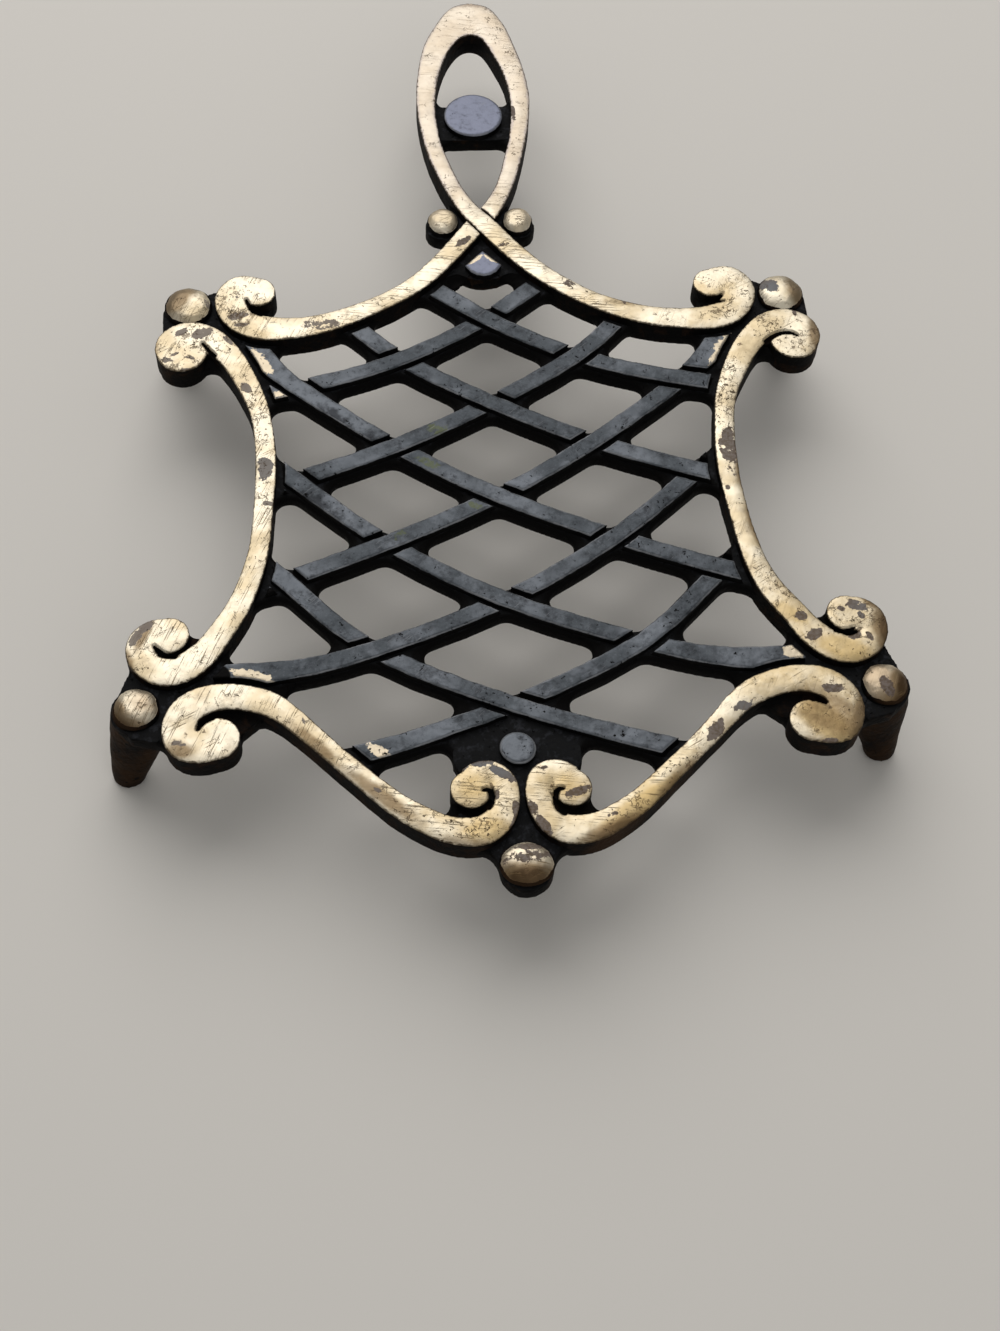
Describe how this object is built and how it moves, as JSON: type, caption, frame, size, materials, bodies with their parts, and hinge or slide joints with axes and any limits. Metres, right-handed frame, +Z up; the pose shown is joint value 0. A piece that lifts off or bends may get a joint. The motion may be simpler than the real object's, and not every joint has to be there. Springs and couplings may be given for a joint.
{
  "type": "footed trivet",
  "caption": "Cast brass trivet with scrolled rims round a woven grey lattice, domed pearls, a crossed hanging loop and splayed feet.",
  "frame": {"origin": "on the table, under the middle of the outline", "axes": "+Z up from the table, +Y towards the tip of the hanging loop, +X to the right seen from above with the loop away"},
  "size_m": [0.1658, 0.2418, 0.025],
  "materials": {
    "brass": "worn, polished on the tops",
    "grey_lattice": "satin, rubbed",
    "black_ground": "matt, warm black"
  },
  "bodies": {
    "root": {"top_rim_over": "brass", "top_rim_under": "brass", "side_rim_left": "brass", "side_rim_right": "brass", "bottom_rim_left": "brass", "bottom_rim_right": "brass", "pearl_top_left": "brass", "pearl_top_right": "brass", "pearl_bottom_left": "brass", "pearl_bottom_right": "brass", "pearl_bottom_centre": "brass", "pearl_neck_left": "brass", "pearl_neck_right": "brass", "strap_down_1": "grey_lattice", "strap_down_2": "grey_lattice", "strap_down_3": "grey_lattice", "strap_down_4": "grey_lattice", "strap_down_5": "grey_lattice", "strap_up_1": "grey_lattice", "strap_up_2": "grey_lattice", "strap_up_3": "grey_lattice", "strap_up_4": "grey_lattice", "strap_up_5": "grey_lattice", "neck_seed": "grey_lattice", "centre_disc": "grey_lattice", "loop_knob": "grey_lattice", "corner_web_top_left": "black_ground", "corner_web_top_right": "black_ground", "corner_web_bottom_left": "black_ground", "corner_web_bottom_right": "black_ground", "neck_web": "black_ground", "neck_pad_left": "black_ground", "neck_pad_right": "black_ground", "centre_web": "black_ground", "loop_bar": "black_ground", "foot_top_left": "black_ground", "foot_top_right": "black_ground", "foot_bottom_left": "black_ground", "foot_bottom_right": "black_ground"}
  },
  "joints": []
}
